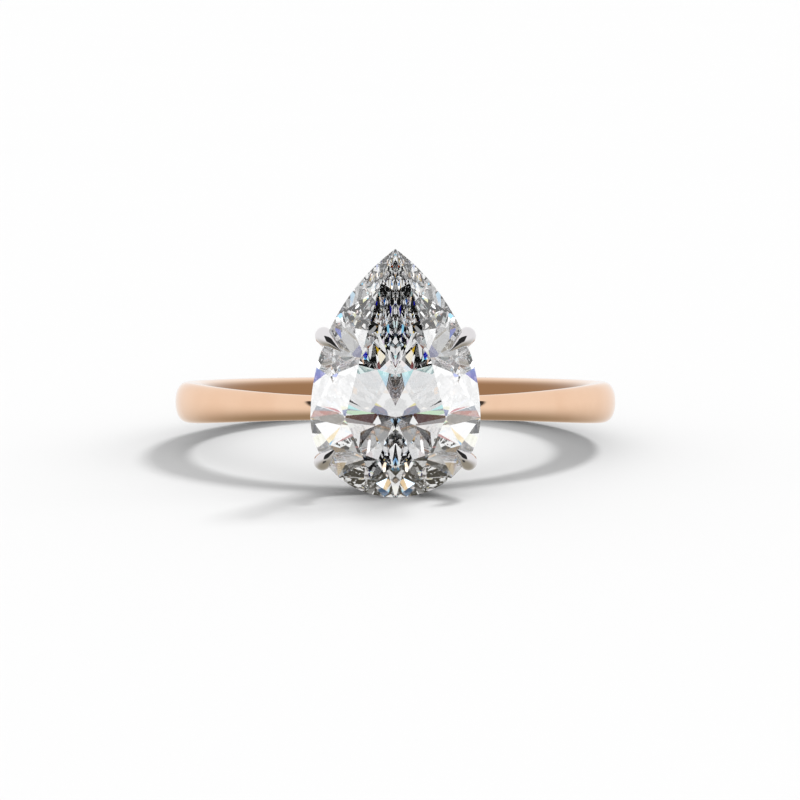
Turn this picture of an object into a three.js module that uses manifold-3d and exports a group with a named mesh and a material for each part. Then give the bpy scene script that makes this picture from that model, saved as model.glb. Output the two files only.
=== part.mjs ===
// Solitaire engagement ring: a rose-gold shank, a white-metal basket head with four claws, and a
// pear-shaped brilliant-cut diamond. Sizes are in mm.
// The origin is the middle of the finger hole, +Z runs along the finger, and the stone faces -Y
// with its point up. Heights are measured from the finger axis towards the stone, along -Y.
import * as THREE from "three";
import { mergeVertices } from "three/addons/utils/BufferGeometryUtils.js";
import Module from "manifold-3d";

// Shank
const BORE_RADIUS = 8.45;
const SHANK_THICK = { back: 1.7, front: 1.25 };
const SHANK_WIDTH = { back: 1.83, front: 1.05 };
const SHANK_CREST = 0.68; // the shank is widest this share of the way out through its wall
const TAPER_START = 14; // degrees round from the head, where the shank begins to widen
const TAPER_END = 82;
const SHANK_STEPS = 96;
const SHANK_SIDES = 20;

// Stone
const STONE_HALF_WIDTH = 3.59;
const STONE_HEAD = 3.37; // from the widest line to the rounded end
const STONE_TIP = 7.13; // from the widest line to the point
const WIDEST_LINE = -0.27; // along the finger, from the middle of the shank
const GIRDLE_HEIGHT = 13.05;
const GIRDLE_THICK = 0.26;
const CROWN_DEPTH = 1.05;
const PAVILION_DEPTH = 3.1;
const TABLE_SHARE = 0.59;
const TABLE_TIP = 4.35;
const SHOULDER_ANGLE = 30; // degrees from the point to the middle of the shoulder facet
const CORNER_ANGLE = 136; // and to the middle of the facet beside the rounded end
const STAR_REACH = 0.42;
const LOWER_HALF_REACH = 0.24;
const KEEL_REACH = [1.8, 3.4, 4.8, 6.0]; // from the culet to each bend of the keel
const KEEL_DEPTH = [0.923, 0.727, 0.487, 0.246]; // depth there, as a share of the pavilion's
const GIRDLE_STEPS = 96;

// Claws: where each one crosses the girdle, measured from the middle of the stone's widest line,
// and which way its tip points, seen from the front
const CLAW_RADIUS = 0.38;
const CLAW_FOOT_RADIUS = 0.34;
const CLAW_FOOT_HEIGHT = 9.5;
const CLAW_SIDES = 12;
const CLAW_STEPS = 20;
const UPPER_CLAW = { x: 3.02, z: 3.45, lean: 0.625, tip: 0.95, turn: 49 };
const LOWER_CLAW = { x: 3.08, z: -1.86, lean: 0.5, tip: 0.82, turn: 136.5 };

// Rails of the head
const RAIL_WIDTH = 0.56;
const RAIL_DEPTH = 0.6;
const RAIL_SIDES = 8;
const RAIL_STEPS = 44;
const UPPER_RAIL = { height: 11.35, inset: 1.02, tip: 5.6 };
const LOWER_RAIL = { height: 9.78, inset: 1.8, tip: 4.45 };

// Clearance left between pieces that are soldered or set against each other
const GAP = 0.02;

const wasm = await Module();
wasm.setup();

const radians = THREE.MathUtils.degToRad;
const at = (x, height, z) => new THREE.Vector3(x, -height, z);

function solidOf(geometry) {
  const bare = geometry.clone();
  bare.deleteAttribute("normal");
  bare.deleteAttribute("uv");
  const merged = mergeVertices(bare, 1e-5);
  return new wasm.Manifold(
    new wasm.Mesh({
      numProp: 3,
      vertProperties: merged.attributes.position.array,
      triVerts: new Uint32Array(merged.index.array),
    }),
  );
}

function geometryOf(solid) {
  const mesh = solid.getMesh();
  const geometry = new THREE.BufferGeometry();
  geometry.setAttribute("position", new THREE.BufferAttribute(mesh.vertProperties, 3));
  geometry.setIndex(new THREE.BufferAttribute(mesh.triVerts, 1));
  return geometry;
}

// One closed skin over a row of stations. Each has a centre, two directions across the sweep and
// a section as [across, along] pairs. The row joins up with itself, or is closed at both ends.
function sweep(stations, looped) {
  const sides = stations[0].section.length;
  const points = [];
  for (const { centre, across, along, section } of stations) {
    for (const [u, v] of section) {
      points.push(centre.clone().addScaledVector(across, u).addScaledVector(along, v));
    }
  }
  const faces = [];
  const rings = stations.length;
  for (let ring = 0; ring < (looped ? rings : rings - 1); ring++) {
    const next = (ring + 1) % rings;
    for (let side = 0; side < sides; side++) {
      const turn = (side + 1) % sides;
      const [a, b] = [ring * sides + side, ring * sides + turn];
      const [c, d] = [next * sides + turn, next * sides + side];
      faces.push(a, b, c, a, c, d);
    }
  }
  if (!looped) {
    const [first, last] = [points.length, points.length + 1];
    points.push(stations[0].centre.clone(), stations[rings - 1].centre.clone());
    for (let side = 0; side < sides; side++) {
      const turn = (side + 1) % sides;
      faces.push(first, turn, side);
      faces.push(last, (rings - 1) * sides + side, (rings - 1) * sides + turn);
    }
  }
  const geometry = new THREE.BufferGeometry().setFromPoints(points);
  geometry.setIndex(faces);
  return solidOf(geometry);
}

// A closed oval about the place where it is widest. crest is the share of its depth inside that.
function oval(depth, width, sides, power, crest) {
  const section = [];
  for (let side = 0; side < sides; side++) {
    const angle = (side / sides) * 2 * Math.PI;
    const [c, s] = [Math.cos(angle), Math.sin(angle)];
    const reach = depth * (c >= 0 ? 1 - crest : crest);
    const u = reach * Math.sign(c) * Math.abs(c) ** (2 / power);
    const v = (width / 2) * Math.sign(s) * Math.abs(s) ** (2 / power);
    section.push([u, v]);
  }
  return section;
}

// The shank tapers in width and thickness towards the head.
function shankSolid() {
  const stations = [];
  for (let step = 0; step < SHANK_STEPS; step++) {
    const turn = (step / SHANK_STEPS) * 2 * Math.PI;
    const fromHead = Math.abs(THREE.MathUtils.radToDeg(Math.min(turn, 2 * Math.PI - turn)));
    const full = THREE.MathUtils.smoothstep(fromHead, TAPER_START, TAPER_END);
    const thick = THREE.MathUtils.lerp(SHANK_THICK.front, SHANK_THICK.back, full);
    const width = THREE.MathUtils.lerp(SHANK_WIDTH.front, SHANK_WIDTH.back, full);
    const across = new THREE.Vector3(Math.sin(turn), -Math.cos(turn), 0);
    stations.push({
      centre: across.clone().multiplyScalar(BORE_RADIUS + thick * SHANK_CREST),
      across,
      along: new THREE.Vector3(0, 0, -1),
      section: oval(thick, width, SHANK_SIDES, 2.2, SHANK_CREST),
    });
  }
  return sweep(stations, true);
}

// The pear's flanks are arcs of this radius, each with its middle this far past the centre line.
const FLANK_RADIUS = (STONE_HALF_WIDTH ** 2 + STONE_TIP ** 2) / (2 * STONE_HALF_WIDTH);
const FLANK_MIDDLE = STONE_HALF_WIDTH - FLANK_RADIUS;

// The pear outline at an angle from its point: two arcs for the flanks and half an ellipse for
// the rounded end. Gives the point and the direction that faces squarely out of the outline.
function outline(degrees) {
  const angle = radians(degrees);
  const [s, c] = [Math.sin(angle), Math.cos(angle)];
  const point = new THREE.Vector2();
  const facing = new THREE.Vector2(0, 1);
  if (c < 0) {
    const reach = 1 / Math.hypot(s / STONE_HALF_WIDTH, c / STONE_HEAD);
    point.set(s * reach, c * reach);
    facing.set(point.x / STONE_HALF_WIDTH ** 2, point.y / STONE_HEAD ** 2);
  } else {
    const middle = s < 0 ? -FLANK_MIDDLE : FLANK_MIDDLE;
    const reach = middle * s + Math.sqrt(FLANK_RADIUS ** 2 - (middle * c) ** 2);
    point.set(s * reach, c * reach);
    if (Math.abs(s) > 1e-6) {
      facing.set(point.x - middle, point.y);
    }
  }
  return { point, facing: facing.normalize() };
}

// Where two lines meet, each through a point and square to its facing direction.
function meeting(p, n, q, m) {
  const across = n.x * m.y - n.y * m.x;
  const a = p.dot(n);
  const b = q.dot(m);
  return new THREE.Vector2((a * m.y - b * n.y) / across, (b * n.x - a * m.x) / across);
}

// Takes off everything on the far side of the plane through three points, seen from the middle
// of the stone. margin moves the plane out.
function cutFacet(solid, [a, b, c], margin) {
  const normal = new THREE.Vector3().subVectors(b, a).cross(new THREE.Vector3().subVectors(c, a));
  normal.normalize();
  if (normal.dot(new THREE.Vector3().subVectors(a, at(0, GIRDLE_HEIGHT, 0))) < 0) {
    normal.negate();
  }
  const size = 40;
  const waste = new THREE.BoxGeometry(size, size, size);
  waste.translate(0, 0, size / 2 + margin);
  const turn = new THREE.Quaternion().setFromUnitVectors(new THREE.Vector3(0, 0, 1), normal);
  waste.applyQuaternion(turn);
  waste.translate(a.x, a.y, a.z);
  return solid.subtract(solidOf(waste));
}

// A place on the stone at a height, given across and along from the middle of its widest line.
const lift = (p, height) => at(p.x, height, p.y + WIDEST_LINE);

// Copies of the main facets on the other side of the stone, in the order they come round.
function mirrored(mains) {
  const flip = new THREE.Vector2(-1, 1);
  return mains.toReversed().map((main) => ({
    ...main,
    point: main.point.clone().multiply(flip),
    facing: main.facing.clone().multiply(flip),
    corner: main.corner?.clone().multiply(flip),
  }));
}

// The plane of a main facet: through its root and along the outline where it meets the girdle.
function mainPlane(root, { point, facing }, height) {
  const edgeway = new THREE.Vector2(-facing.y, facing.x).add(point);
  return [root, lift(point, height), lift(edgeway, height)];
}

// Where two main facets' edges meet outside the outline, and the outline's point beside it.
function between(main, next) {
  const outside = meeting(main.point, main.facing, next.point, next.facing);
  const angle = THREE.MathUtils.radToDeg(Math.atan2(outside.x, outside.y));
  return { outside, half: outline(angle).point };
}

// The crown: a table, eight mains, and between each two mains a star and two upper halves.
function crownFacets(top, table) {
  const near = [0, SHOULDER_ANGLE, 90, CORNER_ANGLE, 180].map((angle) => {
    const { point, facing } = outline(angle);
    const corner = point.clone().multiplyScalar(TABLE_SHARE);
    return { point, facing, corner: angle === 0 ? corner.set(0, TABLE_TIP) : corner };
  });
  const mains = [...near, ...mirrored(near.slice(1, 4))];
  const facets = [mains.slice(0, 3).map(({ corner }) => lift(corner, table))];
  mains.forEach((main, index) => {
    const next = mains[(index + 1) % mains.length];
    const { outside, half } = between(main, next);
    const inside = meeting(main.corner, main.facing, next.corner, next.facing);
    const star = lift(inside, table).lerp(lift(outside, top), STAR_REACH);
    facets.push(mainPlane(lift(main.corner, table), main, top));
    facets.push([lift(main.corner, table), lift(next.corner, table), star]);
    facets.push([star, lift(half, top), lift(main.point, top)]);
    facets.push([star, lift(half, top), lift(next.point, top)]);
  });
  return facets;
}

// The pavilion: mains that meet at the culet or, towards the point, two by two along a keel that
// bends up to it, and two lower halves between each two mains.
function pavilionFacets(bottom) {
  const root = (reach, share) => lift({ x: 0, y: reach }, bottom - PAVILION_DEPTH * share);
  const reaches = [0, ...KEEL_REACH, STONE_TIP];
  const shares = [1, ...KEEL_DEPTH, 0];
  const near = [];
  for (let knot = 0; knot < reaches.length - 1; knot++) {
    const [reach, share] = [reaches[knot], shares[knot]];
    const fall = share - shares[knot + 1];
    const cross = reach + ((reaches[knot + 1] - reach) * share) / fall;
    const away = Math.max(Math.hypot(FLANK_MIDDLE, cross), FLANK_RADIUS);
    const turn = Math.atan2(cross, -FLANK_MIDDLE) - Math.acos(FLANK_RADIUS / away);
    const facing = new THREE.Vector2(Math.cos(turn), Math.sin(turn));
    const point = facing.clone().multiplyScalar(FLANK_RADIUS);
    point.x += FLANK_MIDDLE;
    near.unshift({ point, facing, root: root(reach, share) });
  }
  for (const angle of [90, CORNER_ANGLE, 180]) {
    near.push({ ...outline(angle), root: root(0, 1) });
  }
  const mains = [...near, ...mirrored(near.slice(0, -1))];
  const facets = mains.map((main) => mainPlane(main.root, main, bottom));
  mains.slice(1).forEach((next, index) => {
    const main = mains[index];
    const { outside, half } = between(main, next);
    const start = main.root.z > next.root.z ? main.root : next.root;
    const ridge = start.clone().lerp(lift(outside, bottom), LOWER_HALF_REACH);
    facets.push([ridge, lift(half, bottom), lift(main.point, bottom)]);
    facets.push([ridge, lift(half, bottom), lift(next.point, bottom)]);
  });
  return facets;
}

// The stone: an upright pear-shaped blank with its facets cut one by one.
function stoneSolid(margin) {
  const top = GIRDLE_HEIGHT + GIRDLE_THICK / 2;
  const bottom = GIRDLE_HEIGHT - GIRDLE_THICK / 2;
  const edge = [];
  for (let step = 0; step < GIRDLE_STEPS; step++) {
    const { point, facing } = outline((step / GIRDLE_STEPS) * 360);
    edge.push(point.addScaledVector(facing, margin));
  }
  const blank = new THREE.ExtrudeGeometry(new THREE.Shape(edge), { depth: 8, bevelEnabled: false });
  blank.rotateX(Math.PI / 2);
  blank.translate(0, -8, WIDEST_LINE);
  let stone = solidOf(blank);
  for (const facet of [...crownFacets(top, top + CROWN_DEPTH), ...pavilionFacets(bottom)]) {
    stone = cutFacet(stone, facet, margin);
  }
  return stone;
}

// A claw leans out from its foot, stands beside the girdle, then folds over the crown and tapers
// to a point. side is 1 on the right and -1 on the left.
function clawSolid({ x, z, lean, tip, turn }, side, margin) {
  const outward = new THREE.Vector2(x, z).normalize();
  const inward = new THREE.Vector2(-Math.sin(radians(turn)), -Math.cos(radians(turn)));
  const rise = GIRDLE_HEIGHT - 0.15 - CLAW_FOOT_HEIGHT;
  const foot = new THREE.Vector2(x, z).addScaledVector(outward, -lean * rise);
  const over = (share, height) => {
    const beside = new THREE.Vector2(x, z).addScaledVector(inward, tip * share);
    return lift({ x: side * beside.x, y: beside.y }, height);
  };
  const crest = GIRDLE_HEIGHT + GIRDLE_THICK / 2;
  const line = new THREE.CatmullRomCurve3([
    lift({ x: side * foot.x, y: foot.y }, CLAW_FOOT_HEIGHT),
    lift({ x: (side * (foot.x + x)) / 2, y: (foot.y + z) / 2 }, CLAW_FOOT_HEIGHT + rise / 2),
    over(0, GIRDLE_HEIGHT - 0.15),
    over(0.06, crest + 0.06),
    over(0.28, crest + 0.3),
    over(0.6, crest + 0.44),
    over(1, crest + 0.54),
  ]);
  const radii = new THREE.CatmullRomCurve3([
    new THREE.Vector3(0, CLAW_FOOT_RADIUS, 0),
    new THREE.Vector3(0, CLAW_RADIUS - 0.03, 0),
    new THREE.Vector3(0, CLAW_RADIUS, 0),
    new THREE.Vector3(0, CLAW_RADIUS * 0.98, 0),
    new THREE.Vector3(0, CLAW_RADIUS * 0.82, 0),
    new THREE.Vector3(0, CLAW_RADIUS * 0.48, 0),
    new THREE.Vector3(0, 0.03, 0),
  ]);
  const level = new THREE.Vector3(-inward.y, 0, inward.x * side).normalize();
  const stations = [];
  for (let step = 0; step <= CLAW_STEPS; step++) {
    const share = (step / CLAW_STEPS) ** 0.7;
    const tangent = line.getTangent(share);
    const across = level.clone().cross(tangent).normalize();
    const along = tangent.clone().cross(across);
    const size = 2 * (radii.getPoint(share).y + margin);
    stations.push({
      centre: line.getPoint(share),
      across,
      along,
      section: oval(size, size, CLAW_SIDES, 2, 0.5),
    });
  }
  return sweep(stations, false);
}

// A rail follows the inside of the stone's outline, with its point rounded off.
function railSolid({ height, inset, tip }, margin) {
  const stops = [0, 12, 30, 60, 90, 120, 150, 180, 210, 240, 270, 300, 330, 348];
  const path = new THREE.CatmullRomCurve3(
    stops.map((angle) => {
      const { point, facing } = outline(angle);
      point.addScaledVector(facing, -inset);
      return lift(angle === 0 ? { x: 0, y: tip } : point, height);
    }),
    true,
  );
  const up = new THREE.Vector3(0, -1, 0);
  const stations = [];
  for (let step = 0; step < RAIL_STEPS; step++) {
    const share = step / RAIL_STEPS;
    const across = path.getTangentAt(share).cross(up).negate();
    stations.push({
      centre: path.getPointAt(share),
      across,
      along: path.getTangentAt(share).cross(across),
      section: oval(RAIL_WIDTH + 2 * margin, RAIL_DEPTH + 2 * margin, RAIL_SIDES, 2.8, 0.5),
    });
  }
  return sweep(stations, true);
}

const clearStone = stoneSolid(GAP);
const claws = [];
for (const [level, shape] of [["upper", UPPER_CLAW], ["lower", LOWER_CLAW]]) {
  for (const [hand, side] of [["left", -1], ["right", 1]]) {
    claws.push({
      name: `claw_${level}_${hand}`,
      solid: clawSolid(shape, side, 0).subtract(clearStone),
      clearance: clawSolid(shape, side, GAP),
    });
  }
}

// Each rail is filed to seat the claws, and the shank to seat the lower rail and the claw feet.
let upperRail = railSolid(UPPER_RAIL, 0).subtract(clearStone);
let lowerRail = railSolid(LOWER_RAIL, 0);
let shank = shankSolid().subtract(railSolid(LOWER_RAIL, GAP));
for (const { clearance } of claws) {
  upperRail = upperRail.subtract(clearance);
  lowerRail = lowerRail.subtract(clearance);
  shank = shank.subtract(clearance);
}

const ROSE_GOLD = { color: 0xdfae86, roughness: 0.08, metalness: 1 };
const WHITE_GOLD = { color: 0xd9d6d4, roughness: 0.08, metalness: 1 };
const DIAMOND = { color: 0xf4f8ff, roughness: 0.0, metalness: 0 };

const ring = new THREE.Group();
ring.name = "engagement_ring";

function addPiece(name, solid, look) {
  const mesh = new THREE.Mesh(geometryOf(solid), new THREE.MeshStandardMaterial(look));
  mesh.name = name;
  ring.add(mesh);
}

addPiece("shank", shank, ROSE_GOLD);
addPiece("lower_rail", lowerRail, WHITE_GOLD);
addPiece("upper_rail", upperRail, WHITE_GOLD);
for (const { name, solid } of claws) {
  addPiece(name, solid, WHITE_GOLD);
}
addPiece("diamond", stoneSolid(0), DIAMOND);

export default ring;
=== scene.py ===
import math
from functools import partial

import bmesh
import bpy
from bpy.props import FloatProperty, FloatVectorProperty, IntProperty
from mathutils import Matrix, Vector


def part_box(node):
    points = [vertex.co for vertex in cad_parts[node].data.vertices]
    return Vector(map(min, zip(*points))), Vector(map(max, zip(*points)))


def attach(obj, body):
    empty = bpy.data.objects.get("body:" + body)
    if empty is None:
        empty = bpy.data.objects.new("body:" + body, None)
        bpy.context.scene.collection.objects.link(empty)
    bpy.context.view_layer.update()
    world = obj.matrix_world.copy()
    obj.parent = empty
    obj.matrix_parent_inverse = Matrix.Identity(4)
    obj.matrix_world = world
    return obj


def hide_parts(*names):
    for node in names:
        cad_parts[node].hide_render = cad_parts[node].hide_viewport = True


bl_info = {
    "name": "Pear Solitaire Ring",
    "version": (1, 0, 0),
    "blender": (4, 5, 0),
    "location": "3D View > Sidebar > Ring",
    "description": "Makes the band, the claw head and the pear brilliant of a solitaire ring",
    "category": "Add Mesh",
}

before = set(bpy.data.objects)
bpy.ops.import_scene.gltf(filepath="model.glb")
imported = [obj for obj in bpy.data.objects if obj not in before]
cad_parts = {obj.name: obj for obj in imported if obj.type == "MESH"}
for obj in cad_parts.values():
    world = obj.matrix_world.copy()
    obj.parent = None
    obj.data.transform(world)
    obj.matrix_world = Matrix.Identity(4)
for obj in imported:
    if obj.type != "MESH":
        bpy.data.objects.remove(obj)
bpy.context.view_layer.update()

# The shapes are worked out in millimetres and brought to metres when a piece is finished.
# Heights are measured from the finger axis towards the stone, along -Y.
MM = 1000.0
STONE_LOW, STONE_HIGH = (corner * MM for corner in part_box("diamond"))
BAND_LOW, BAND_HIGH = (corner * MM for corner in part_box("shank"))
WIDEST = -0.27
# Corners of the stone nearer to a facet's plane than this are taken to lie on it.
SNAP = 2e-4
CLEARANCE = 0.02

ROSE_GOLD = (0.9, 0.62, 0.44, 1.0)
ROSE_GOLD_DEEP = (0.84, 0.54, 0.36, 1.0)
# Painted shade: a dark brown painted on the band's bore wall in place of the dark reflections it
# shows.
ROSE_GOLD_BORE_PAINTED_SHADE = (0.34, 0.18, 0.09, 1.0)
WHITE_GOLD = (0.8, 0.78, 0.79, 1.0)
WHITE_GOLD_DEEP = (0.72, 0.7, 0.72, 1.0)
# How fine the clouding and the buffing hairlines are, as noise scales in metres.
CLOUD_SCALE = 420.0
HAIR_SCALE = (900.0, 900.0, 26000.0)
DIAMOND_IOR = 2.417
# Distances from the finger axis, in metres, between which the bore's painted shade fades out.
BORE_PAINTED_SHADE_FADE = (0.00865, 0.00915)
# How square the sections are, where 2 is an ellipse.
BAND_POWER = 2.2
RAIL_POWER = 2.8
# Points round a section and steps along a wire.
CLAW_SIDES, CLAW_STEPS = 40, 72
RAIL_SIDES, RAIL_STEPS = 28, 168
# Half of the shift along a wire over which its direction is measured, as a share of the wire.
NUDGE = 1e-3


def at(x, height, z):
    """A point beside the finger axis, at a height above it."""
    return Vector((x, -height, z))


def smooth_share(value, low, high):
    """0 below low, 1 above high, and an easy curve between them."""
    share = min(max((value - low) / (high - low), 0.0), 1.0)
    return share * share * (3.0 - 2.0 * share)


def blend_between(start, end, share):
    return start + (end - start) * share


# ---------------------------------------------------------------------------- sizes


class BandSizes(bpy.types.PropertyGroup):
    bore_radius: FloatProperty(
        name="Bore radius", description="Inside radius of the band, mm", default=8.45, min=6.0
    )
    thick_back: FloatProperty(
        name="Thickness at the back", description="Across the band's wall, mm", default=1.7
    )
    thick_front: FloatProperty(
        name="Thickness at the head", description="Across the band's wall, mm", default=1.25
    )
    width_back: FloatProperty(
        name="Width at the back",
        description="Along the finger, mm",
        default=round(BAND_HIGH.z - BAND_LOW.z, 4),
    )
    width_front: FloatProperty(
        name="Width at the head", description="Along the finger, mm", default=1.05
    )
    taper_start: FloatProperty(
        name="Taper starts",
        description="How far round from the head the band begins to widen",
        default=math.radians(14),
        unit="ROTATION",
    )
    taper_end: FloatProperty(
        name="Taper ends",
        description="How far round from the head the band reaches its full width",
        default=math.radians(82),
        unit="ROTATION",
    )
    crest: FloatProperty(
        name="Crest",
        description="How far out through the wall the band is widest, as a share of it",
        default=0.68,
        max=0.95,
    )
    steps: IntProperty(name="Steps", description="Sections round the band", default=288, min=24)
    sides: IntProperty(name="Sides", description="Points round a section", default=48, min=8)


class StoneSizes(bpy.types.PropertyGroup):
    half_width: FloatProperty(
        name="Half width", description="From the middle to the side, mm", default=STONE_HIGH.x
    )
    widest: FloatProperty(
        name="Widest line",
        description="How far the widest line is along the finger from the band's middle, mm",
        default=WIDEST,
    )
    head: FloatProperty(
        name="Head length",
        description="From the widest line to the rounded end, mm",
        default=WIDEST - STONE_LOW.z,
    )
    tip: FloatProperty(
        name="Tip length",
        description="From the widest line to the point, mm",
        default=STONE_HIGH.z - WIDEST,
    )
    crown: FloatProperty(name="Crown", description="Crown height, mm", default=1.05)
    girdle: FloatProperty(name="Girdle", description="Girdle thickness, mm", default=0.26)
    table_share: FloatProperty(
        name="Table", description="Table size as a share of the outline", default=0.59, max=0.9
    )
    table_tip: FloatProperty(
        name="Table tip", description="From the widest line to the table's point, mm", default=4.35
    )
    shoulder: FloatProperty(
        name="Shoulder angle",
        description="From the point round to the middle of the shoulder facet",
        default=math.radians(30),
        unit="ROTATION",
    )
    corner: FloatProperty(
        name="Corner angle",
        description="From the point round to the facet beside the rounded end",
        default=math.radians(136),
        unit="ROTATION",
    )
    star_reach: FloatProperty(
        name="Star reach", description="How far the star facets run to the girdle", default=0.42
    )
    keel_reach: FloatVectorProperty(
        name="Keel knots",
        description="From the culet to each bend of the keel, mm",
        size=4,
        default=(1.8, 3.4, 4.8, 6.0),
    )
    keel_depth: FloatVectorProperty(
        name="Keel depths",
        description="Depth at each bend as a share of the pavilion's",
        size=4,
        default=(0.923, 0.727, 0.487, 0.246),
    )
    half_reach: FloatProperty(
        name="Lower half reach",
        description="How near the culet the lower halves end, as a share of the way out",
        default=0.24,
    )
    steps: IntProperty(name="Steps", description="Flats round the girdle", default=144, min=24)


class HeadSizes(bpy.types.PropertyGroup):
    claw_radius: FloatProperty(name="Claw radius", description="At the girdle, mm", default=0.38)
    foot_radius: FloatProperty(name="Foot radius", description="At the foot, mm", default=0.34)
    foot_height: FloatProperty(
        name="Foot height", description="From the finger axis, mm", default=9.5
    )
    rail_width: FloatProperty(name="Rail width", description="In to out, mm", default=0.56)
    rail_depth: FloatProperty(name="Rail depth", description="Front to back, mm", default=0.6)


class Finishes(bpy.types.PropertyGroup):
    rose_gold: FloatVectorProperty(
        name="Rose gold", description="Colour of the band", subtype="COLOR", size=4,
        default=ROSE_GOLD,
    )
    white_gold: FloatVectorProperty(
        name="White gold", description="Colour of the head", subtype="COLOR", size=4,
        default=WHITE_GOLD,
    )


# ---------------------------------------------------------------------------- shader maths


class Wire:
    """One output of a node. Sums on it add Math nodes, so shader maths reads as Python."""

    def __init__(self, nodes, socket):
        self.nodes = nodes
        self.socket = socket

    def _sum(self, operation, *values):
        return self.nodes.add(
            "Math", {"operation": operation}, {i: value for i, value in enumerate(values)}
        )

    def __add__(self, other):
        return self._sum("ADD", self, other)

    __radd__ = __add__

    def __sub__(self, other):
        return self._sum("SUBTRACT", self, other)

    def __rsub__(self, other):
        return self._sum("SUBTRACT", other, self)

    def __mul__(self, other):
        return self._sum("MULTIPLY", self, other)

    __rmul__ = __mul__

    def __truediv__(self, other):
        return self._sum("DIVIDE", self, other)

    def __rtruediv__(self, other):
        return self._sum("DIVIDE", other, self)

    def __abs__(self):
        return self._sum("ABSOLUTE", self)

    def over(self, other):
        """The larger of the two."""
        return self._sum("MAXIMUM", self, other)

    def dot(self, vector):
        return self.nodes.add(
            "VectorMath", {"operation": "DOT_PRODUCT"}, {0: self, 1: vector}, "Value"
        )

    def shifted(self, vector):
        return self.nodes.add("VectorMath", {"operation": "ADD"}, {0: self, 1: vector})

    def sized(self):
        """Each part without its sign."""
        return self.nodes.add("VectorMath", {"operation": "ABSOLUTE"}, {0: self})

    def beyond(self, other):
        """The larger of each two parts."""
        return self.nodes.add("VectorMath", {"operation": "MAXIMUM"}, {0: self, 1: other})

    def stretched(self, scale, start):
        return self.nodes.add(
            "VectorMath",
            {"operation": "MULTIPLY_ADD"},
            {0: self, 1: (scale,) * 3, 2: (start,) * 3},
        )

    def blended(self, share, other):
        """This where share is 0 and the other where it is 1, part by part."""
        return self.nodes.add(
            "Mix",
            {"data_type": "VECTOR", "factor_mode": "NON_UNIFORM"},
            {1: share, 4: self, 5: other},
            1,
        )

    def rise(self, low, high):
        """0 where this is at low, 1 at high, with an easy curve between."""
        return self.nodes.add(
            "MapRange",
            {"interpolation_type": "SMOOTHSTEP"},
            {"Value": self, "From Min": low, "From Max": high, "To Min": 0.0, "To Max": 1.0},
        )


class Nodes:
    """A node tree that is being wired up."""

    def __init__(self, tree):
        self.tree = tree
        tree.nodes.clear()

    def add(self, kind, settings=None, values=None, out=0):
        """Adds a node, sets it up, fills its sockets with values or wires, and gives an output."""
        node = self.tree.nodes.new("ShaderNode" + kind)
        for name, setting in (settings or {}).items():
            setattr(node, name, setting)
        for name, value in (values or {}).items():
            if isinstance(value, Wire):
                self.tree.links.new(value.socket, node.inputs[name])
            else:
                node.inputs[name].default_value = value
        return Wire(self, node.outputs[out]) if len(node.outputs) else node

    def mix(self, share, first, second):
        """A colour between two others."""
        return self.add(
            "Mix",
            {"data_type": "RGBA"},
            {"Factor": share, 6: first, 7: second},
            2,
        )

    def noise(self, where, scale, detail=2.0):
        return self.add(
            "TexNoise", None, {"Vector": where, "Scale": scale, "Detail": detail}, "Fac"
        )


def new_material(name):
    material = bpy.data.materials.new(name)
    material.use_nodes = True
    return material, Nodes(material.node_tree)


def polished_metal(name, colour, deep_colour, roughness, painted_bore_shade=None):
    """Mirror-polished gold: faint clouding in colour and gloss, and hairlines from the buff.

    With a painted bore shade, the wall next to the finger is painted that darker colour: painted
    shade standing in for the dark reflections of the wall, which mostly reflects itself.
    """
    material, nodes = new_material(name)
    where = nodes.add("TexCoord", None, None, "Object")
    cloud = nodes.noise(where, CLOUD_SCALE, 3.0).rise(0.35, 0.7)
    drawn_out = nodes.add("Mapping", None, {"Vector": where, "Scale": HAIR_SCALE})
    hairs = nodes.noise(drawn_out, 1.0)
    tone = nodes.mix(cloud * 0.5, tuple(colour), tuple(deep_colour))
    if painted_bore_shade:
        # Painted shade: the wall nearest the finger axis is painted the darker bore colour, fading
        # out farther from the axis.
        x, y = where.dot((1.0, 0.0, 0.0)), where.dot((0.0, 1.0, 0.0))
        inside = 1.0 - (x * x + y * y).rise(BORE_PAINTED_SHADE_FADE[0] ** 2, BORE_PAINTED_SHADE_FADE[1] ** 2)
        tone = nodes.mix(inside, tone, painted_bore_shade)
    gloss = cloud * 0.03 + hairs * 0.02 + roughness
    bump = nodes.add(
        "Bump", None, {"Strength": 0.02, "Distance": 0.00002, "Height": hairs}, "Normal"
    )
    surface = nodes.add(
        "BsdfPrincipled",
        None,
        {"Base Color": tone, "Metallic": 1.0, "Roughness": gloss, "Normal": bump},
    )
    nodes.add("OutputMaterial", None, {"Surface": surface})
    return material


def diamond_material(name, roughness):
    """Diamond: very high refraction, with the faintest cloud of colour in the crystal."""
    material, nodes = new_material(name)
    where = nodes.add("TexCoord", None, None, "Object")
    cloud = nodes.noise(where, 300.0, 2.0)
    tone = nodes.mix(cloud, (1.0, 1.0, 1.0, 1.0), (0.985, 0.992, 1.0, 1.0))
    surface = nodes.add(
        "BsdfPrincipled",
        None,
        {
            "Base Color": tone,
            "Roughness": roughness,
            "IOR": DIAMOND_IOR,
            "Transmission Weight": 1.0,
        },
    )
    nodes.add("OutputMaterial", None, {"Surface": surface})
    return material


def floor_material():
    """Matt white card, with the least unevenness in its tone."""
    material, nodes = new_material("floor_card")
    where = nodes.add("TexCoord", None, None, "Object")
    tone = nodes.mix(nodes.noise(where, 40.0), (0.8, 0.8, 0.8, 1.0), (0.805, 0.805, 0.805, 1.0))
    surface = nodes.add("BsdfDiffuse", None, {"Color": tone})
    nodes.add("OutputMaterial", None, {"Surface": surface})
    return material


# ---------------------------------------------------------------------------- mesh helpers


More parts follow.
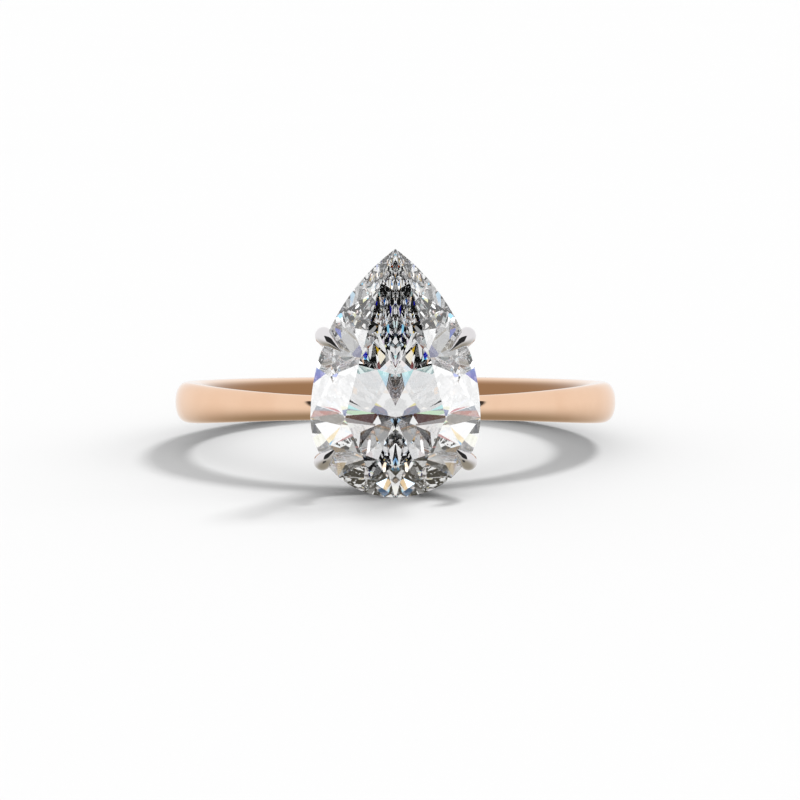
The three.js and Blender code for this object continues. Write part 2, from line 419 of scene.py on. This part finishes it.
def oval(depth, width, sides, power=2.0, crest=0.5):
    """A closed oval drawn about its widest place, with a share, crest, of its depth inward.

    A power of 2 gives an ellipse, and a higher one squarer shoulders.
    """
    section = []
    for side in range(sides):
        angle = side / sides * 2.0 * math.pi
        c, s = math.cos(angle), math.sin(angle)
        reach = depth * (1.0 - crest if c >= 0.0 else crest)
        section.append(
            (
                reach * math.copysign(abs(c) ** (2.0 / power), c),
                width / 2.0 * math.copysign(abs(s) ** (2.0 / power), s),
            )
        )
    return section


def sweep(stations, looped):
    """A closed skin over stations of (centre, across, along, section), as points and faces."""
    sides = len(stations[0][3])
    points = []
    for centre, across, along, section in stations:
        points += [centre + across * u + along * v for u, v in section]
    faces = []
    rings = len(stations)
    for ring in range(rings if looped else rings - 1):
        onward = (ring + 1) % rings
        for side in range(sides):
            turn = (side + 1) % sides
            faces.append(
                (
                    ring * sides + side,
                    ring * sides + turn,
                    onward * sides + turn,
                    onward * sides + side,
                )
            )
    if not looped:
        first = len(points)
        points += [stations[0][0], stations[-1][0]]
        last_ring = (rings - 1) * sides
        for side in range(sides):
            turn = (side + 1) % sides
            faces.append((first, turn, side))
            faces.append((first + 1, last_ring + side, last_ring + turn))
    return points, faces


def spline(points, share, looped=False):
    """A point on a smooth curve through the given ones (centripetal Catmull-Rom)."""
    count = len(points)
    spans = count if looped else count - 1
    place = min(max(share, 0.0), 1.0) * spans
    span = min(int(place), spans - 1)
    weight = place - span

    def stop(index):
        if looped:
            return points[index % count]
        if index < 0:
            return points[0] * 2.0 - points[1]
        if index >= count:
            return points[-1] * 2.0 - points[-2]
        return points[index]

    a, b, c, d = (stop(span + offset) for offset in (-1, 0, 1, 2))
    ab, bc, cd = (max((q - p).length ** 0.5, 1e-6) for p, q in ((a, b), (b, c), (c, d)))
    leave = ((b - a) / ab - (c - a) / (ab + bc) + (c - b) / bc) * bc
    arrive = ((c - b) / bc - (d - b) / (bc + cd) + (d - c) / cd) * bc
    cubic = (b - c) * 2.0 + leave + arrive
    square = (c - b) * 3.0 - leave * 2.0 - arrive
    return ((cubic * weight + square) * weight + leave) * weight + b


def mesh_piece(name, points, faces, material):
    """A smooth object from points in millimetres."""
    mesh = bpy.data.meshes.new(name)
    mesh.from_pydata([point / MM for point in points], [], faces)
    mesh.validate()
    mesh.materials.append(material)
    mesh.shade_smooth()
    piece = bpy.data.objects.new(name, mesh)
    bpy.context.scene.collection.objects.link(piece)
    return piece


def settle(piece, node):
    """Puts a finished piece in place of its CAD node."""
    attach(piece, "root")
    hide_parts(node)


# ---------------------------------------------------------------------------- band


def band_mesh(sizes):
    """The band's skin, swept round the finger from the head."""
    stations = []
    for step in range(sizes.steps):
        turn = step / sizes.steps * 2.0 * math.pi
        from_head = min(turn, 2.0 * math.pi - turn)
        full = smooth_share(from_head, sizes.taper_start, sizes.taper_end)
        thick = blend_between(sizes.thick_front, sizes.thick_back, full)
        width = blend_between(sizes.width_front, sizes.width_back, full)
        across = Vector((math.sin(turn), -math.cos(turn), 0.0))
        stations.append(
            (
                across * (sizes.bore_radius + thick * sizes.crest),
                across,
                Vector((0.0, 0.0, -1.0)),
                oval(thick, width, sizes.sides, BAND_POWER, sizes.crest),
            )
        )
    return sweep(stations, True)


class RING_OT_band(bpy.types.Operator):
    """Make the rose-gold band, which narrows towards the head"""

    bl_idname = "ring.band"
    bl_label = "Band"

    def execute(self, context):
        scene = context.scene
        rose_gold = scene.ring_finishes.rose_gold
        # The band's inner wall is painted darker here as painted shade.
        gold = polished_metal("rose_gold", rose_gold, ROSE_GOLD_DEEP, 0.05, ROSE_GOLD_BORE_PAINTED_SHADE)
        points, faces = band_mesh(scene.ring_band)
        band = mesh_piece("band", points, faces, gold)
        settle(band, "shank")
        return {"FINISHED"}


# ---------------------------------------------------------------------------- stone


def flank(sizes):
    """Radius of the arcs that make the pear's sides, and how far their middles are past centre."""
    radius = (sizes.half_width**2 + sizes.tip**2) / (2.0 * sizes.half_width)
    return radius, sizes.half_width - radius


def outline(sizes, angle):
    """The pear outline at an angle from its point: where it is, and the way it faces."""
    s, c = math.sin(angle), math.cos(angle)
    if c < 0.0:
        reach = 1.0 / math.hypot(s / sizes.half_width, c / sizes.head)
        point = Vector((s, c)) * reach
        facing = Vector((point.x / sizes.half_width**2, point.y / sizes.head**2))
    else:
        radius, middle = flank(sizes)
        middle = -middle if s < 0.0 else middle
        reach = middle * s + math.sqrt(radius**2 - (middle * c) ** 2)
        point = Vector((s, c)) * reach
        facing = Vector((0.0, 1.0))
        if abs(s) > 1e-6:
            facing = Vector((point.x - middle, point.y))
    return point, facing.normalized()


def meeting(p, n, q, m):
    """Where two lines meet, each through a point and square to its facing direction."""
    across = n.x * m.y - n.y * m.x
    a, b = p.dot(n), q.dot(m)
    return Vector(((a * m.y - b * n.y) / across, (b * n.x - a * m.x) / across))


def mirrored(mains):
    """The same main facets on the left of the stone, from the rounded end back to the point."""
    flip = Vector((-1.0, 1.0))
    return [[value * flip if len(value) == 2 else value for value in main] for main in mains[::-1]]


def stand(sizes, point, height):
    """A point of the pear outline, stood up at a height above the finger axis."""
    return at(point.x, height, point.y + sizes.widest)


def crown_facets(sizes, top, table):
    """Three points on each plane of the crown: table, mains, stars and upper halves."""
    lift = partial(stand, sizes)
    mains = []
    for angle in (0.0, sizes.shoulder, math.pi / 2.0, sizes.corner, math.pi):
        point, facing = outline(sizes, angle)
        inner = point * sizes.table_share if angle else Vector((0.0, sizes.table_tip))
        mains.append([point, facing, inner])
    mains += mirrored(mains[1:4])

    facets = [[lift(inner, table) for _, _, inner in mains[:3]]]
    for index, (point, facing, inner) in enumerate(mains):
        next_point, next_facing, next_inner = mains[(index + 1) % len(mains)]
        edgeway = Vector((-facing.y, facing.x)) + point
        facets.append([lift(inner, table), lift(point, top), lift(edgeway, top)])
        outside = meeting(point, facing, next_point, next_facing)
        inside = meeting(inner, facing, next_inner, next_facing)
        half, _ = outline(sizes, math.atan2(outside.x, outside.y))
        star = lift(inside, table).lerp(lift(outside, top), sizes.star_reach)
        facets.append([lift(inner, table), lift(next_inner, table), star])
        for neighbour in (point, next_point):
            facets.append([star, lift(half, top), lift(neighbour, top)])
    return facets


def pavilion_facets(sizes, bottom, culet):
    """Three points on each plane of the pavilion: mains and lower halves.

    The mains meet at the culet and, towards the point, on a keel that bends up to it, which keeps
    the long end of the stone about as steep, and so as bright, as the rest.
    """
    lift = partial(stand, sizes)
    depth = bottom - culet
    radius, middle = flank(sizes)
    keel = [(0.0, 1.0), *zip(sizes.keel_reach, sizes.keel_depth), (sizes.tip, 0.0)]
    mains = []
    for (reach, share), (next_reach, next_share) in zip(keel, keel[1:]):
        cross = reach + (next_reach - reach) * share / (share - next_share)
        lean = min(radius / math.hypot(middle, cross), 1.0)
        turn = math.atan2(cross, -middle) - math.acos(lean)
        facing = Vector((math.cos(turn), math.sin(turn)))
        point = facing * radius + Vector((middle, 0.0))
        mains.insert(0, [point, facing, at(0.0, bottom - depth * share, sizes.widest + reach)])
    for angle in (math.pi / 2.0, sizes.corner, math.pi):
        mains.append([*outline(sizes, angle), at(0.0, culet, sizes.widest)])
    mains += mirrored(mains[:-1])

    facets = []
    for point, facing, root in mains:
        edgeway = Vector((-facing.y, facing.x)) + point
        facets.append([root, lift(point, bottom), lift(edgeway, bottom)])
    for (point, facing, root), (next_point, next_facing, next_root) in zip(mains, mains[1:]):
        outside = meeting(point, facing, next_point, next_facing)
        half, _ = outline(sizes, math.atan2(outside.x, outside.y))
        start = max(root, next_root, key=lambda knot: knot.z)
        ridge = start.lerp(lift(outside, bottom), sizes.half_reach)
        for neighbour in (point, next_point):
            facets.append([ridge, lift(half, bottom), lift(neighbour, bottom)])
    return facets


def cut_stone(sizes, margin=0.0):
    """An upright blank with its facets cut one by one, as a bmesh in millimetres."""
    table = -STONE_LOW.y
    top = table - sizes.crown
    bottom = top - sizes.girdle
    culet = -STONE_HIGH.y
    middle = at(0.0, (top + bottom) / 2.0, sizes.widest)

    stone = bmesh.new()
    rims = []
    for height in (table + 1.0, culet - 1.0):
        rim = []
        for step in range(sizes.steps):
            point, facing = outline(sizes, step / sizes.steps * 2.0 * math.pi)
            point = point + facing * margin
            rim.append(stone.verts.new(stand(sizes, point, height)))
        rims.append(rim)
    front, back = rims
    stone.faces.new(front)
    stone.faces.new(reversed(back))
    for step in range(sizes.steps):
        onward = (step + 1) % sizes.steps
        stone.faces.new((front[onward], front[step], back[step], back[onward]))

    for a, b, c in crown_facets(sizes, top, table) + pavilion_facets(sizes, bottom, culet):
        normal = (b - a).cross(c - a).normalized()
        if normal.dot(a - middle) < 0.0:
            normal.negate()
        everything = stone.verts[:] + stone.edges[:] + stone.faces[:]
        cut = bmesh.ops.bisect_plane(
            stone,
            geom=everything,
            dist=SNAP,
            plane_co=a + normal * margin,
            plane_no=normal,
            clear_outer=True,
        )
        rim = [edge for edge in cut["geom_cut"] if isinstance(edge, bmesh.types.BMEdge)]
        bmesh.ops.edgenet_fill(stone, edges=rim)
    bmesh.ops.remove_doubles(stone, verts=stone.verts, dist=SNAP / 2.0)
    bmesh.ops.recalc_face_normals(stone, faces=stone.faces)
    return stone


def stone_object(name, sizes, margin=0.0):
    """The cut stone as an object, each facet flat and the girdle in the second finish."""
    stone = cut_stone(sizes, margin)
    if any(not edge.is_manifold for edge in stone.edges):
        raise RuntimeError("the stone's facets leave it open")
    for face in stone.faces:
        face.material_index = 1 if abs(face.normal.y) < 1e-3 else 0
        face.smooth = False
    stone.transform(Matrix.Scale(1.0 / MM, 4))
    mesh = bpy.data.meshes.new(name)
    stone.to_mesh(mesh)
    stone.free()
    piece = bpy.data.objects.new(name, mesh)
    bpy.context.scene.collection.objects.link(piece)
    return piece


class RING_OT_stone(bpy.types.Operator):
    """Cut the pear brilliant, with polished facets and a slightly softer girdle"""

    bl_idname = "ring.stone"
    bl_label = "Stone"

    def execute(self, context):
        piece = stone_object("pear_brilliant", context.scene.ring_stone)
        piece.data.materials.append(diamond_material("diamond_polished", 0.0))
        piece.data.materials.append(diamond_material("diamond_girdle", 0.05))
        # A clear stone passes most of the light, so it leaves no dark shadow on the floor.
        piece.visible_shadow = False
        settle(piece, "diamond")
        return {"FINISHED"}


# ---------------------------------------------------------------------------- head

CLAWS = {
    "upper": {"x": 3.02, "z": 3.45, "lean": 0.625, "tip": 0.95, "turn": math.radians(49.0)},
    "lower": {"x": 3.08, "z": -1.86, "lean": 0.5, "tip": 0.82, "turn": math.radians(136.5)},
}
# Each rail: height, how far inside the stone's outline, and where its rounded point is.
RAILS = {"upper": (11.35, 1.02, 5.6), "lower": (9.78, 1.8, 4.45)}
# How far below the girdle's middle a claw starts to stand upright, in mm.
CLAW_STANDS = 0.15
# Each knot of a claw over the crown: how far in as a share of its tip, how high over the girdle
# in mm, and its radius as a share of the claw's. Then the point's height and radius, in mm.
CLAW_FOLD = ((0.06, 0.06, 0.98), (0.28, 0.3, 0.82), (0.6, 0.44, 0.48))
CLAW_POINT_RISE = 0.54
CLAW_POINT_RADIUS = 0.03
CRISP_EDGE = math.radians(40.0)


def claw_mesh(head, stone, claw, side):
    """A claw leans out from its foot, passes the girdle and folds over the crown to a point."""
    crest = -STONE_LOW.y - stone.crown
    below = crest - stone.girdle / 2.0 - CLAW_STANDS
    beside = Vector((claw["x"], claw["z"]))
    inward = Vector((-math.sin(claw["turn"]), -math.cos(claw["turn"])))
    rise = below - head.foot_height
    foot = beside - beside.normalized() * claw["lean"] * rise

    def stop(point, height, radius):
        return Vector((side * point.x, -height, point.y + stone.widest, radius))

    def over(share, height, radius):
        return stop(beside + inward * claw["tip"] * share, height, radius)

    full = head.claw_radius
    line = [
        stop(foot, head.foot_height, head.foot_radius),
        stop((foot + beside) / 2.0, head.foot_height + rise / 2.0, full - 0.03),
        over(0.0, below, full),
        *(over(share, crest + height, full * size) for share, height, size in CLAW_FOLD),
        over(1.0, crest + CLAW_POINT_RISE, CLAW_POINT_RADIUS),
    ]
    level = Vector((-inward.y, 0.0, inward.x * side)).normalized()
    stations = []
    for step in range(CLAW_STEPS + 1):
        share = (step / CLAW_STEPS) ** 0.7
        here = spline(line, share)
        ahead = spline(line, min(share + NUDGE, 1.0))
        behind = spline(line, max(share - NUDGE, 0.0))
        tangent = (ahead - behind).to_3d().normalized()
        across = level.cross(tangent).normalized()
        along = tangent.cross(across)
        stations.append((here.to_3d(), across, along, oval(here.w * 2, here.w * 2, CLAW_SIDES)))
    return sweep(stations, False)


def rail_mesh(head, stone, height, inset, tip):
    """A rail follows the inside of the stone's outline, with its point rounded off."""
    degrees = [0, 12, 30, 60, 90, 120, 150, 180, 210, 240, 270, 300, 330, 348]
    path = []
    for angle in degrees:
        point, facing = outline(stone, math.radians(angle))
        point = point - facing * inset if angle else Vector((0.0, tip))
        path.append(stand(stone, point, height))
    stations = []
    for step in range(RAIL_STEPS):
        share = step / RAIL_STEPS
        centre = spline(path, share, True)
        ahead = spline(path, (share + NUDGE) % 1.0, True)
        behind = spline(path, (share - NUDGE) % 1.0, True)
        tangent = (ahead - behind).normalized()
        across = tangent.cross(Vector((0.0, -1.0, 0.0))) * -1.0
        along = tangent.cross(across)
        section = oval(head.rail_width, head.rail_depth, RAIL_SIDES, RAIL_POWER)
        stations.append((centre, across, along, section))
    return sweep(stations, True)


def seat(piece, cutter):
    """File off whatever part of a piece is inside the cutter, and keep the new edges crisp."""
    cut = piece.modifiers.new("seat", "BOOLEAN")
    cut.operation = "DIFFERENCE"
    cut.object = cutter
    cut.solver = "EXACT"
    filed = piece.evaluated_get(bpy.context.evaluated_depsgraph_get())
    shape = bpy.data.meshes.new_from_object(filed)
    piece.modifiers.clear()
    piece.data = shape
    shape.set_sharp_from_angle(angle=CRISP_EDGE)


class RING_OT_head(bpy.types.Operator):
    """Make the white-gold head: two rails and four claws that taper to points"""

    bl_idname = "ring.head"
    bl_label = "Head"

    def execute(self, context):
        scene = context.scene
        head, stone = scene.ring_head, scene.ring_stone
        gold = polished_metal("white_gold", scene.ring_finishes.white_gold, WHITE_GOLD_DEEP, 0.04)
        clear_stone = stone_object("clear_stone", stone, CLEARANCE)
        pieces = {}
        for level, path in RAILS.items():
            pieces[f"{level}_rail"] = mesh_piece(
                f"gallery_rail_{level}", *rail_mesh(head, stone, *path), gold
            )
        for level, claw in CLAWS.items():
            for hand, side in (("left", -1.0), ("right", 1.0)):
                pieces[f"claw_{level}_{hand}"] = mesh_piece(
                    f"pointed_claw_{level}_{hand}", *claw_mesh(head, stone, claw, side), gold
                )
        for node, piece in pieces.items():
            seat(piece, clear_stone)
            settle(piece, node)
        bpy.data.objects.remove(clear_stone)
        return {"FINISHED"}


# ---------------------------------------------------------------------------- stage


def resting_plane(band, stone):
    """The ring lies on the rounded end of its stone and the back of its band.

    Gives the floor's tilt and how far the floor is below the middle of the finger hole.
    """
    girdle = -STONE_LOW.y - stone.crown - stone.girdle
    crest = band.bore_radius + band.thick_back * band.crest

    def stone_drop(tilt):
        return (stone.head - stone.widest) * math.cos(tilt) - girdle * math.sin(tilt)

    def band_drop(tilt):
        depth = band.thick_back * (1.0 - band.crest) * math.sin(tilt)
        width = band.width_back / 2.0 * math.cos(tilt)
        return crest * math.sin(tilt) + math.hypot(depth, width)

    low, high = 0.0, math.radians(20.0)
    for _ in range(40):
        tilt = (low + high) / 2.0
        if stone_drop(tilt) > band_drop(tilt):
            low = tilt
        else:
            high = tilt
    return tilt, band_drop(tilt)


def hang(ray, card, level, fire):
    """The level of light along a ray once a card has been hung in the room.

    fire spreads the colours: red meets the card that much to one side and blue to the other.
    """
    azimuth, elevation, half_width, half_height, brightness = card
    a, e = math.radians(azimuth), math.radians(elevation)
    forward = Vector((math.sin(a) * math.cos(e), -math.cos(a) * math.cos(e), math.sin(e)))
    right = Vector((math.cos(a), math.sin(a), 0.0)) / half_width
    up = Vector((-math.sin(a) * math.sin(e), math.cos(a) * math.sin(e), math.cos(e))) / half_height
    ahead = ray.dot(forward).over(0.01)
    across = ray.dot(right) / ahead
    above = ray.dot(up) / ahead
    aside = (Vector((1.0, 0.0, 1.0)) * fire).dot(right)
    over = (Vector((1.0, 0.0, 1.0)) * fire).dot(up)
    out = across.shifted((-aside, 0.0, aside)).sized().beyond(
        above.shifted((-over, 0.0, over)).sized()
    )
    edge = CARD_EDGE / min(half_width, half_height)
    inside = out.stretched(-0.5 / edge, 0.5 + 0.5 / edge)
    return level.blended(inside, (brightness,) * 3)


def studio(ray, cards, level, fire=0.0):
    """The level of light along a ray with all of the cards hung."""
    for card in cards:
        level = hang(ray, card, level, fire)
    return level


# Each card: azimuth from -Y towards +X, elevation, half width and half height as tangents,
# and brightness. The stone's cards are hung in pairs, left and right.
METAL_CARDS = [
    (0.0, 18.0, 0.95, 0.75, 0.03),
    (-25.0, -50.0, 0.3, 0.2, 0.05),
]
STONE_CARDS = [
    (0.0, -3.0, 0.235, 0.07, 0.6),
    (33.0, -1.5, 0.42, 0.085, 0.0),
    (0.0, -11.0, 0.3, 0.035, 0.15),
    (46.0, 48.0, 0.14, 0.12, 0.0),
    (0.0, 40.0, 0.36, 0.06, 0.2),
    (22.0, 21.0, 0.06, 0.04, 0.3),
    (45.0, 31.0, 0.08, 0.05, 0.3),
    (38.0, -63.0, 0.2, 0.13, 0.15),
    (0.0, 76.0, 0.6, 0.2, 0.02),
    (82.0, 25.0, 0.25, 0.3, 0.0),
    (85.0, -38.0, 0.4, 0.12, 0.0),
    (143.0, -2.0, 0.15, 0.08, 0.1),
    (180.0, -30.0, 0.12, 0.1, 0.1),
    (180.0, 50.0, 0.8, 0.3, 0.05),
    (65.0, 2.0, 0.07, 0.2, 2.5),
    (0.0, 60.0, 0.12, 0.05, 2.5),
    (115.0, -20.0, 0.1, 0.1, 1.6),
    (120.0, 40.0, 0.2, 0.2, 1.4),
    (130.0, -60.0, 0.4, 0.2, 0.0),
]
# How soft a card's edge is, and how far apart its red and its blue are, both as tangents.
CARD_EDGE = 0.018
FIRE_SPREAD = 0.018
# The room that the metal reflects, the glow on matt things, and what is seen behind the ring.
ROOM_FLOOR = (0.36, 0.33, 0.26, 1.0)
ROOM_WALLS = (0.98, 0.98, 0.98, 1.0)
EVEN_GLOW = (0.78, 0.78, 0.78, 1.0)
BACKDROP = (1.0, 1.0, 1.0, 1.0)
# Each sun: where it is, how strong it is, and how wide in degrees.
SUNS = {
    "key_light": ((0.47, 0.62, 1.0), 1.7, 14.0),
    "side_light": ((1.6, 0.1, 1.0), 0.35, 30.0),
}
# The floor's half size in metres, and its corners in order.
FLOOR_REACH = 6.0
FLOOR_CORNERS = ((-1, -1), (1, -1), (1, 1), (-1, 1))
LENS_LENGTH = 147.6
CAMERA_PLACE = Vector((0.0, -151.6, 4.8))
CAMERA_AIM = Vector((0.21, 0.0, 0.07))


def light_world(scene):
    """The room: white to the eye, an even glow on the floor, and cards in the reflections."""
    world = bpy.data.worlds.new("studio")
    world.use_nodes = True
    scene.world = world
    nodes = Nodes(world.node_tree)
    ray = nodes.add("TexCoord", None, None, "Generated")
    eye = nodes.add("LightPath", None, None, "Is Camera Ray")
    matt = nodes.add("LightPath", None, None, "Is Diffuse Ray")
    through = nodes.add("LightPath", None, None, "Is Transmission Ray")
    height = ray.dot((0.0, 0.0, 1.0))
    room = nodes.mix(height.rise(-0.9, 0.1), ROOM_FLOOR, ROOM_WALLS)
    plain = studio(ray, METAL_CARDS, room)
    side, depth = abs(ray.dot((1.0, 0.0, 0.0))), ray.dot((0.0, 1.0, 0.0))
    folded = nodes.add("CombineXYZ", None, {0: side, 1: depth, 2: height})
    front = ray.dot((0.0, -1.0, 0.0)).rise(-0.3, 0.1) * 0.55 + 0.5
    fire = studio(folded, STONE_CARDS, front, FIRE_SPREAD)
    seen = nodes.mix(through, plain, fire)
    seen = nodes.mix(matt, seen, EVEN_GLOW)
    seen = nodes.mix(eye, seen, BACKDROP)
    back = nodes.add("Background", None, {"Color": seen})
    nodes.add("OutputWorld", None, {"Surface": back})


def add_sun(scene, name, towards, strength, angle):
    """A soft light from far off, seen only in the shadows it throws."""
    lamp = bpy.data.lights.new(name, "SUN")
    lamp.energy = strength
    lamp.angle = math.radians(angle)
    light = bpy.data.objects.new(name, lamp)
    light.rotation_euler = Vector(towards).to_track_quat("Z", "Y").to_euler()
    light.visible_glossy = False
    light.visible_transmission = False
    scene.collection.objects.link(light)


class RING_OT_stage(bpy.types.Operator):
    """Lay the floor under the ring, and set the lights and the camera"""

    bl_idname = "ring.stage"
    bl_label = "Stage"

    def execute(self, context):
        scene = context.scene
        tilt, drop = resting_plane(scene.ring_band, scene.ring_stone)
        floor_up = Vector((0.0, -math.sin(tilt), math.cos(tilt)))
        mesh = bpy.data.meshes.new("floor")
        mesh.from_pydata(
            [(x * FLOOR_REACH, y * FLOOR_REACH, 0.0) for x, y in FLOOR_CORNERS],
            [],
            [(0, 1, 2, 3)],
        )
        mesh.materials.append(floor_material())
        floor = bpy.data.objects.new("floor", mesh)
        scene.collection.objects.link(floor)
        floor.rotation_euler = (tilt, 0.0, 0.0)
        floor.location = floor_up * (-drop / MM)
        floor.visible_glossy = False
        floor.visible_transmission = False

        light_world(scene)
        for name, sun in SUNS.items():
            add_sun(scene, name, *sun)

        lens = bpy.data.cameras.new("camera")
        lens.lens = LENS_LENGTH
        lens.sensor_width = 36.0
        lens.clip_start = 0.005
        lens.clip_end = 50.0
        camera = bpy.data.objects.new("camera", lens)
        camera.location = CAMERA_PLACE / MM
        aim = CAMERA_AIM / MM
        camera.rotation_euler = (aim - camera.location).to_track_quat("-Z", "Y").to_euler()
        scene.collection.objects.link(camera)
        scene.camera = camera

        scene.view_settings.view_transform = "Standard"
        scene.cycles.max_bounces = 32
        scene.cycles.transmission_bounces = 30
        scene.cycles.glossy_bounces = 12
        scene.cycles.caustics_reflective = False
        scene.cycles.caustics_refractive = False
        return {"FINISHED"}


# ---------------------------------------------------------------------------- add-on

STEPS = (RING_OT_stage, RING_OT_band, RING_OT_head, RING_OT_stone)
SETTINGS = {
    "ring_band": BandSizes,
    "ring_stone": StoneSizes,
    "ring_head": HeadSizes,
    "ring_finishes": Finishes,
}


class RING_PT_panel(bpy.types.Panel):
    """Lists the pieces of the ring"""

    bl_idname = "RING_PT_panel"
    bl_label = "Pear Solitaire Ring"
    bl_space_type = "VIEW_3D"
    bl_region_type = "UI"
    bl_category = "Ring"

    def draw(self, context):
        for step in STEPS:
            self.layout.operator(step.bl_idname)
        for name, group in SETTINGS.items():
            box = self.layout.box()
            for size in group.__annotations__:
                box.prop(getattr(context.scene, name), size)


def register():
    for cls in (*SETTINGS.values(), *STEPS, RING_PT_panel):
        bpy.utils.register_class(cls)
    for name, group in SETTINGS.items():
        setattr(bpy.types.Scene, name, bpy.props.PointerProperty(type=group))


def unregister():
    for name in SETTINGS:
        delattr(bpy.types.Scene, name)
    for cls in reversed((*SETTINGS.values(), *STEPS, RING_PT_panel)):
        bpy.utils.unregister_class(cls)


def main():
    register()
    for step in STEPS:
        family, name = step.bl_idname.split(".")
        getattr(getattr(bpy.ops, family), name)()
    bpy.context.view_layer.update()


if __name__ == "__main__":
    main()
